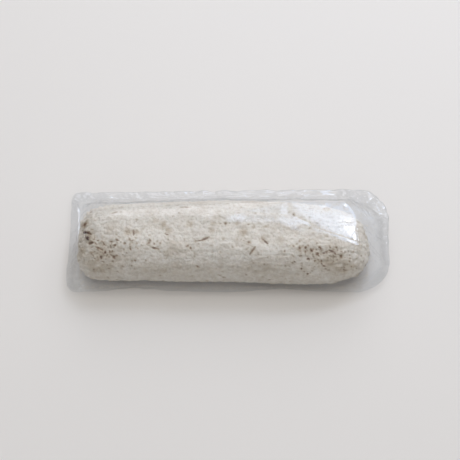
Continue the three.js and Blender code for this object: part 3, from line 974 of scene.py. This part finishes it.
def clear_film(bag):
    """Blown polypropylene film, 0.04 mm thick: colourless and glossy, with a faint crinkle.

    It is too thin to bend light, so it is a see-through sheet with a mirror-like skin whose
    reflection grows towards grazing angles.
    """
    material, tree = new_material("clear_polypropylene_film")
    place = add_node(tree, "ShaderNodeTexCoord").outputs["Object"]
    crinkle = add_node(tree, "ShaderNodeTexNoise",
                       {"Scale": 1 / (14 * MM), "Detail": 3.0, "Roughness": 0.55},
                       {"Vector": place}).outputs["Fac"]
    bump = add_node(tree, "ShaderNodeBump", {"Strength": 0.35, "Distance": 0.6 * MM},
                    {"Height": crinkle}).outputs["Normal"]
    skin = add_node(tree, "ShaderNodeBsdfGlossy", {"Roughness": 0.04}, {"Normal": bump}).outputs["BSDF"]
    through = add_node(tree, "ShaderNodeBsdfTransparent", {"Color": rgba(bag.tint)}).outputs["BSDF"]
    # Both faces of the sheet reflect, so its strength is that of a denser material; seen from inside
    # the bag the index is turned over, since no ray is ever inside the plastic.
    inside = add_node(tree, "ShaderNodeNewGeometry").outputs["Backfacing"]
    index = add_node(tree, "ShaderNodeMapRange", {"To Min": FILM_INDEX, "To Max": 1 / FILM_INDEX},
                     {"Value": inside}).outputs["Result"]
    fresnel = add_node(tree, "ShaderNodeFresnel", {}, {"IOR": index, "Normal": bump}).outputs["Fac"]
    shader = add_node(tree, "ShaderNodeMixShader", {}, {0: fresnel, 1: through, 2: skin})
    add_node(tree, "ShaderNodeOutputMaterial", {}, {"Surface": shader.outputs["Shader"]})
    return material


def crimped_film():
    """The same film where two layers are heat-sealed: a little milky, with pressed ribs."""
    material, tree = new_material("heat_sealed_film")
    place = add_node(tree, "ShaderNodeTexCoord").outputs["Object"]
    # One rib every 1.4 mm; the wave node has 20 waves for each unit of its scale.
    ribs = add_node(tree, "ShaderNodeTexWave", {"Scale": 1 / (20 * 1.4 * MM)}, {"Vector": place},
                    bands_direction="Y").outputs["Fac"]
    bump = add_node(tree, "ShaderNodeBump", {"Strength": 1.0, "Distance": 0.5 * MM},
                    {"Height": ribs}).outputs["Normal"]
    shader = add_node(tree, "ShaderNodeBsdfPrincipled",
                      {"Base Color": rgba(linear("#eef1f4")), "Roughness": 0.18, "Alpha": 0.3},
                      {"Normal": bump})
    add_node(tree, "ShaderNodeOutputMaterial", {}, {"Surface": shader.outputs["BSDF"]})
    return material


def floor_paint(stage):
    """Matt emulsion on a studio board: pale and even, with a trace of roller stipple."""
    material, tree = new_material("matt_white_board")
    place = add_node(tree, "ShaderNodeTexCoord").outputs["Object"]
    stipple = add_node(tree, "ShaderNodeTexNoise", {"Scale": 1 / (3 * MM)},
                       {"Vector": place}).outputs["Fac"]
    bump = add_node(tree, "ShaderNodeBump", {"Strength": 0.05, "Distance": 0.1 * MM},
                    {"Height": stipple}).outputs["Normal"]
    shader = add_node(tree, "ShaderNodeBsdfPrincipled",
                      {"Base Color": rgba(stage.floor_colour), "Roughness": 0.85,
                       "Specular IOR Level": 0.2},
                      {"Normal": bump})
    add_node(tree, "ShaderNodeOutputMaterial", {}, {"Surface": shader.outputs["BSDF"]})
    return material


# ---------------------------------------------------------------- scattered things
GRAINS = 5200
GRAIN_RADII = (0.16, 0.42)       # in millimetres
GRAIN_CORNERS = ((1, 0, 0), (-1, 0, 0), (0, 1, 0), (0, -1, 0), (0, 0, 1), (0, 0, -1))
GRAIN_SIDES = ((0, 2, 4), (2, 1, 4), (1, 3, 4), (3, 0, 4), (2, 0, 5), (1, 2, 5), (3, 1, 5), (0, 3, 5))
GRAIN_UNEVEN = (0.6, 1.15)       # shares of its radius that a grain's corners reach
GRAIN_SQUASH = 0.75              # a grain lies flat, this high for its width
CLUMPED = (0.06, 1.1)            # the share of the grains that are clumps, and how much larger those are
GRAIN_BAND = 0.45                # the grains lie in the outer part of each row, this share of it
GRAIN_DRIFT = (1.2, 2.2)         # the two powers that gather them towards the skirt
GRAIN_SKIRT = 0.93               # the outline is shrunk by this for them, so that none is in the film
UNDER_LOAF = (0.9, 0.97)         # none lies within these shares of the loaf's half width and length
GRAIN_THINNING = (2.2, 0.08)     # they thin out away from the loaf at this rate, to this share
GRAIN_OUTLINE = (200, 70)        # places tried along each long side and round each end


def grain_cloud(places, sizes, rng):
    """Vertices and faces of one small uneven eight-sided grain at each place."""
    corners, sides = np.array(GRAIN_CORNERS, float), np.array(GRAIN_SIDES)
    vertices, faces = [], []
    for place, size in zip(places, sizes):
        turn = Matrix.Rotation(rng.uniform(0, 2 * math.pi), 3, Vector(rng.normal(size=3)).normalized())
        shape = corners * rng.uniform(*GRAIN_UNEVEN, (len(corners), 1)) @ np.array(turn).T
        shape = shape * size * np.array([1, 1, GRAIN_SQUASH])
        faces.extend((sides + len(vertices) * len(corners)).tolist())
        vertices.append(shape + place)
    return np.vstack(vertices), faces


def loose_grains(loaf, bag):
    """Sugar that has fallen off the loaf and lies on the film round its foot."""
    rng = np.random.default_rng(loaf.seed + 1)
    outline, spine = bag_outline(bag, *GRAIN_OUTLINE)
    widest, longest = UNDER_LOAF
    rate, least = GRAIN_THINNING
    clumped, growth = CLUMPED
    start = plan(spine, np.full(len(spine), LOAF_CENTRE[1]))
    places, sizes = [], []
    while len(places) < GRAINS:
        i = rng.integers(len(outline))
        share = 1 - rng.beta(*GRAIN_DRIFT) * GRAIN_BAND
        x, y = mix(start[i], outline[i] * GRAIN_SKIRT, share)
        middle, half_width, _, _ = loaf_section(loaf, np.array(x))
        foot = abs(y - middle) / half_width
        if foot < widest and abs(along_loaf(loaf, x)) < longest:
            continue
        if rng.random() > math.exp(-rate * max(0.0, foot - 1)) + least:
            continue
        size = rng.uniform(*GRAIN_RADII) * MM * (1 + growth * (rng.random() < clumped))
        places.append((x, y, FILM_BASE + 0.5 * size))
        sizes.append(size)
    return grain_cloud(np.array(places), sizes, rng)


# Raisins that show through the crust: place in the plan, length and heading in degrees.
RAISINS = (((-117.2, -13.0), 4.2, -30), ((-119.8, -7.2), 3.2, 25))
RAISIN_COVER = 1.1 * MM          # how far under the smooth loaf the raisins' backs lie
RAISIN_SHAPE = (0.5, 0.34, 0.28)             # half sizes along, across and up, as shares of the length
WRINKLE_DEPTH = 0.13             # wrinkles of the raisins: depth as a share of the radius, number and seed
WRINKLE_RUN = (1.2, 2.6, 2.6)
RAISIN_SEED = 61


def raisin_shapes(loaf):
    """Wrinkled raisins, sunk in the crust so that only their backs show."""
    bead = bmesh.new()
    bmesh.ops.create_icosphere(bead, subdivisions=4, radius=1.0)
    ball = np.array([v.co[:] for v in bead.verts])
    sides = [[v.index for v in f.verts] for f in bead.faces]
    bead.free()
    vertices, faces = [], []
    for i, (place, size, heading) in enumerate(RAISINS):
        x, y = np.array(place) * MM
        folds = np.abs(noise(ball * np.array(WRINKLE_RUN) + 7 * i, RAISIN_SEED))
        wrinkled = 1 + WRINKLE_DEPTH * (1 - 2 * folds)
        shape = ball * wrinkled[:, None] * np.array(RAISIN_SHAPE) * size * MM
        spin = Matrix.Rotation(math.radians(heading), 3, "Z")
        slope = np.array([loaf_top(loaf, np.array([x]), np.array([y + d]))[0] for d in (-MM, MM)])
        lean = Matrix.Rotation(math.atan2(slope[1] - slope[0], 2 * MM), 3, "X")
        shape = shape @ np.array(lean @ spin).T
        top = loaf_top(loaf, np.array([x]), np.array([y]))[0] + lumps(np.array([x]), np.array([y]))[0]
        sunk = shape[:, 2].max() + RAISIN_COVER
        faces.extend([[k + len(ball) * i for k in side] for side in sides])
        vertices.append(shape + np.array([x, y, top + loaf.lift - sunk]))
    return np.vstack(vertices), faces


# ---------------------------------------------------------------- seals under the bag
SEAL_FACES = (0.17 * MM, 0.06 * MM)          # levels of a seal's top and underside
RIB_HEIGHT = 0.035 * MM
RIB_STEPS = 4
STRIP_COLUMNS = 25
# The long seam: place across the bag, how much shorter than the foot it is, width, and ribs.
SEAM = (6 * MM, 98 * MM, 11 * MM, 5)
# The end seals: side, distance from the foot's end, place across the bag and length.
END_SEALS = ((-1, 38 * MM, -7 * MM, 36 * MM), (1, 50 * MM, -9 * MM, 34 * MM))
END_SEAL_WIDTH = 12 * MM
END_SEAL_RIBS = 8


def ribbed_strip(centre, size, ribs, heading):
    """A thin strip with pressed ribs, lying flat: centre, length and width, ribs and heading."""
    rows, columns = ribs * RIB_STEPS + 1, STRIP_COLUMNS
    u, v = np.meshgrid(np.linspace(-0.5, 0.5, columns), np.linspace(-0.5, 0.5, rows))
    lift = RIB_HEIGHT * np.cos(2 * math.pi * ribs * (v + 0.5))
    layers = []
    for level in SEAL_FACES:
        layers.append(np.stack([u * size[0], v * size[1], level + lift], axis=-1).reshape(-1, 3))
    points = np.vstack(layers)
    turn = np.array(Matrix.Rotation(heading, 3, "Z"))
    points = points @ turn.T + np.array([*centre, 0.0])
    count = rows * columns
    grid = np.arange(count).reshape(rows, columns)
    top = np.stack([grid[:-1, :-1], grid[:-1, 1:], grid[1:, 1:], grid[1:, :-1]], axis=-1).reshape(-1, 4)
    rim = np.concatenate([grid[0, :-1], grid[:-1, -1], grid[-1, :0:-1], grid[:0:-1, 0]])
    after = np.roll(rim, -1)
    wall = np.stack([rim, rim + count, after + count, after], axis=-1)
    return points, np.vstack([top, top[:, ::-1] + count, wall])


def seal_shapes(bag):
    """The long seam under the bag, and the two end seals folded in under the loaf."""
    inset = bag.bag_length / 2 - bag.foot_tuck
    across, shorter, width, ribs = SEAM
    strips = [ribbed_strip((0.0, across), (2 * inset - shorter, width), ribs, 0.0)]
    for side, from_end, across, length_across in END_SEALS:
        strips.append(ribbed_strip((side * (inset - from_end), across), (length_across, END_SEAL_WIDTH),
                                   END_SEAL_RIBS, math.pi / 2))
    vertices, faces = [], []
    for points, sides in strips:
        faces.extend((sides + sum(len(v) for v in vertices)).tolist())
        vertices.append(points)
    return np.vstack(vertices), faces


# ---------------------------------------------------------------- stage
WARM_WHITE = (1.0, 0.94, 0.9)
COOL_WHITE = (0.94, 0.94, 1.0)
DAYLIGHT_BLUE = (0.63, 0.76, 1.0)
# Lights: azimuth and elevation in degrees, where azimuth 0 is behind the part and 90 at its right end,
# distance and size in metres, radiance at the middle, the share of it at the rim, softness and tint.
SOFTBOXES = {
    "key_softbox": (20, 51, 1.5, (0.95, 0.66), 5.6, 0.25, 0.5, DAYLIGHT_BLUE),
    "key_core": (29, 49.5, 1.5, (0.42, 0.28), 19.0, 0.6, 1.0, COOL_WHITE),
    "side_lamp": (46, 36, 1.5, (0.34, 0.28), 12.0, 0.6, 0.6, COOL_WHITE),
    "back_panel": (3, 28, 2.2, (2.8, 2.0), 2.3, 1.0, 0.8, COOL_WHITE),
    "overhead_panel": (0, 84, 1.9, (2.8, 2.6), 1.35, 1.0, 1.0, WARM_WHITE),
    "left_strip": (-80, 16, 1.8, (0.9, 0.05), 7.0, 1.0, 0.3, COOL_WHITE),
    "right_strip": (85, 16, 1.8, (0.9, 0.05), 7.0, 1.0, 0.3, COOL_WHITE),
    "front_panel": (182, 30, 2.0, (2.4, 1.0), 1.05, 1.0, 0.9, COOL_WHITE),
}
LIGHT_TARGET = (40 * MM, 0.0, 30 * MM)
SKY_STRENGTHS = (0.16, 0.55)     # at the horizon and overhead
FLOOR_REACH = 3.0                # half the floor's side, in metres
CAMERA_TARGET = (1.2 * MM, 13.6 * MM, 0.0)
SENSOR_WIDTH = 36.0              # in millimetres


def add_softbox(name, azimuth, elevation, distance, size, radiance, rim, softness, tint):
    """A rectangular light that faces the part, with a given radiance at its middle.

    Its radiance falls to the rim's share towards the edges, which fade out over the softness.
    """
    light = bpy.data.lights.new(name, "AREA")
    light.shape = "RECTANGLE"
    light.size, light.size_y = size
    light.color = tint
    light.energy = radiance * math.pi * size[0] * size[1]
    light.use_nodes = True
    tree = light.node_tree
    tree.nodes.clear()
    place = add_node(tree, "ShaderNodeNewGeometry").outputs["Parametric"]
    # The light's own coordinates run from 0 to 1, and from here on from -1 to 1.
    centred = add_node(tree, "ShaderNodeVectorMath", {1: (-0.5, -0.5, 0.0)}, {0: place},
                       operation="ADD").outputs[0]
    outward = add_node(tree, "ShaderNodeVectorMath", {1: (2.0, 2.0, 0.0)}, {0: centred},
                       operation="MULTIPLY").outputs[0]
    away = add_node(tree, "ShaderNodeVectorMath", {}, {0: outward}, operation="LENGTH").outputs["Value"]
    glow = add_node(tree, "ShaderNodeMapRange", {"To Min": 1.0, "To Max": rim}, {"Value": away},
                    interpolation_type="SMOOTHSTEP").outputs["Result"]
    sides = add_node(tree, "ShaderNodeSeparateXYZ", {}, {"Vector": outward})
    for side in ("X", "Y"):
        reach = add_node(tree, "ShaderNodeMath", {}, {0: sides.outputs[side]},
                         operation="ABSOLUTE").outputs[0]
        fade = add_node(tree, "ShaderNodeMapRange",
                        {"From Min": 1 - softness, "To Min": 1.0, "To Max": 0.0},
                        {"Value": reach}, interpolation_type="SMOOTHSTEP").outputs["Result"]
        glow = add_node(tree, "ShaderNodeMath", {}, {0: glow, 1: fade}, operation="MULTIPLY").outputs[0]
    shader = add_node(tree, "ShaderNodeEmission", {}, {"Strength": glow})
    add_node(tree, "ShaderNodeOutputLight", {}, {"Surface": shader.outputs["Emission"]})
    lamp = bpy.data.objects.new(name, light)
    a, e = math.radians(azimuth), math.radians(elevation)
    towards = Vector((math.sin(a) * math.cos(e), math.cos(a) * math.cos(e), math.sin(e)))
    lamp.location = Vector(LIGHT_TARGET) + towards * distance
    lamp.rotation_euler = towards.to_track_quat("Z", "Y").to_euler()
    bpy.context.scene.collection.objects.link(lamp)


def place_camera(stage):
    """A camera that looks down at the loaf's front, a little tilted."""
    camera = bpy.data.cameras.new("photo_angle")
    camera.lens = stage.lens
    camera.sensor_width = SENSOR_WIDTH
    a, e = stage.azimuth, stage.elevation
    back = Vector((math.sin(a) * math.cos(e), -math.cos(a) * math.cos(e), math.sin(e)))
    right = Vector((math.cos(a), math.sin(a), 0.0))
    up = back.cross(right)
    c, s = math.cos(stage.roll), math.sin(stage.roll)
    axes = Matrix((right * c + up * s, up * c - right * s, back)).transposed()
    holder = bpy.data.objects.new("photo_angle", camera)
    holder.matrix_world = Matrix.Translation(Vector(CAMERA_TARGET) + back * stage.distance) @ axes.to_4x4()
    bpy.context.scene.collection.objects.link(holder)
    bpy.context.scene.camera = holder


def studio_air():
    """Plain grey surroundings: dim at the horizon and brighter overhead."""
    world = bpy.data.worlds.new("studio")
    world.use_nodes = True
    tree = world.node_tree
    tree.nodes.clear()
    direction = add_node(tree, "ShaderNodeTexCoord").outputs["Generated"]
    height = add_node(tree, "ShaderNodeSeparateXYZ", {}, {"Vector": direction}).outputs["Z"]
    horizon, overhead = SKY_STRENGTHS
    strength = add_node(tree, "ShaderNodeMapRange", {"To Min": horizon, "To Max": overhead},
                        {"Value": height}).outputs["Result"]
    glow = add_node(tree, "ShaderNodeBackground", {"Color": rgba(linear("#f5f5f6"))},
                    {"Strength": strength})
    add_node(tree, "ShaderNodeOutputWorld", {}, {"Surface": glow.outputs["Background"]})
    bpy.context.scene.world = world


# ---------------------------------------------------------------- operators
class STOLLEN_OT_loaf(bpy.types.Operator):
    """Build the sugared loaf with its cracks, pits and bare patches"""
    bl_idname = "stollen.loaf"
    bl_label = "Loaf"

    def execute(self, context):
        loaf = context.scene.stollen_loaf
        vertices, faces, bare = loaf_mesh(loaf)
        piece = new_piece("sugared_loaf", vertices, faces, sugared_crust(loaf), LOAF_SLOT)
        vertex_values(piece, "bare", bare)
        return {"FINISHED"}


class STOLLEN_OT_raisins(bpy.types.Operator):
    """Build the raisins that show through the crust"""
    bl_idname = "stollen.raisins"
    bl_label = "Raisins"

    def execute(self, context):
        loaf = context.scene.stollen_loaf
        new_piece("raisins", *raisin_shapes(loaf), raisin_skin(loaf), RAISIN_SLOT)
        return {"FINISHED"}


class STOLLEN_OT_loose_sugar(bpy.types.Operator):
    """Scatter the sugar that lies loose in the bag"""
    bl_idname = "stollen.loose_sugar"
    bl_label = "Loose sugar"

    def execute(self, context):
        loaf, bag = context.scene.stollen_loaf, context.scene.stollen_bag
        new_piece("loose_sugar", *loose_grains(loaf, bag), loose_sugar_powder(loaf), LOAF_SLOT, False)
        return {"FINISHED"}


class STOLLEN_OT_bag(bpy.types.Operator):
    """Build the clear film bag round the loaf"""
    bl_idname = "stollen.bag"
    bl_label = "Bag"

    def execute(self, context):
        loaf, bag = context.scene.stollen_loaf, context.scene.stollen_bag
        piece = new_piece("clear_bag", *bag_mesh(loaf, bag), clear_film(bag), FILM_SLOT)
        weld(piece, WELD_DISTANCE)
        return {"FINISHED"}


class STOLLEN_OT_seals(bpy.types.Operator):
    """Build the heat seals folded under the bag"""
    bl_idname = "stollen.seals"
    bl_label = "Seals"

    def execute(self, context):
        bag = context.scene.stollen_bag
        new_piece("bag_seals", *seal_shapes(bag), crimped_film(), FILM_SLOT)
        return {"FINISHED"}


class STOLLEN_OT_stage(bpy.types.Operator):
    """Set up the pale floor, the soft lights and the camera"""
    bl_idname = "stollen.stage"
    bl_label = "Stage"

    def execute(self, context):
        stage = context.scene.stollen_stage
        mesh = bpy.data.meshes.new("floor")
        corners = [(x * FLOOR_REACH, y * FLOOR_REACH, 0) for x, y in ((-1, -1), (1, -1), (1, 1), (-1, 1))]
        mesh.from_pydata(corners, [], [(0, 1, 2, 3)])
        mesh.materials.append(floor_paint(stage))
        floor = bpy.data.objects.new("floor", mesh)
        context.scene.collection.objects.link(floor)
        for name, light in SOFTBOXES.items():
            add_softbox(name, *light)
        studio_air()
        context.scene.view_settings.view_transform = "Standard"
        place_camera(stage)
        return {"FINISHED"}


class STOLLEN_PT_panel(bpy.types.Panel):
    """Lists the pieces and their settings"""
    bl_idname = "STOLLEN_PT_panel"
    bl_label = "Bagged stollen"
    bl_space_type = "VIEW_3D"
    bl_region_type = "UI"
    bl_category = "Stollen"

    def draw(self, context):
        for group in (context.scene.stollen_loaf, context.scene.stollen_bag, context.scene.stollen_stage):
            box = self.layout.box()
            for name in group.__annotations__:
                box.prop(group, name)
        for step in STEPS:
            self.layout.operator(step.bl_idname)


STEPS = (STOLLEN_OT_loaf, STOLLEN_OT_raisins, STOLLEN_OT_loose_sugar, STOLLEN_OT_bag, STOLLEN_OT_seals,
         STOLLEN_OT_stage)
SETTINGS = {"stollen_loaf": LoafSettings, "stollen_bag": BagSettings, "stollen_stage": StageSettings}


def register():
    for group in (*SETTINGS.values(), *STEPS, STOLLEN_PT_panel):
        bpy.utils.register_class(group)
    for name, group in SETTINGS.items():
        setattr(bpy.types.Scene, name, PointerProperty(type=group))


def unregister():
    for name in SETTINGS:
        delattr(bpy.types.Scene, name)
    for group in (STOLLEN_PT_panel, *STEPS, *SETTINGS.values()):
        bpy.utils.unregister_class(group)


def main():
    register()
    bpy.ops.stollen.loaf()
    bpy.ops.stollen.raisins()
    bpy.ops.stollen.loose_sugar()
    bpy.ops.stollen.bag()
    bpy.ops.stollen.seals()
    bpy.ops.stollen.stage()


if __name__ == "__main__":
    main()
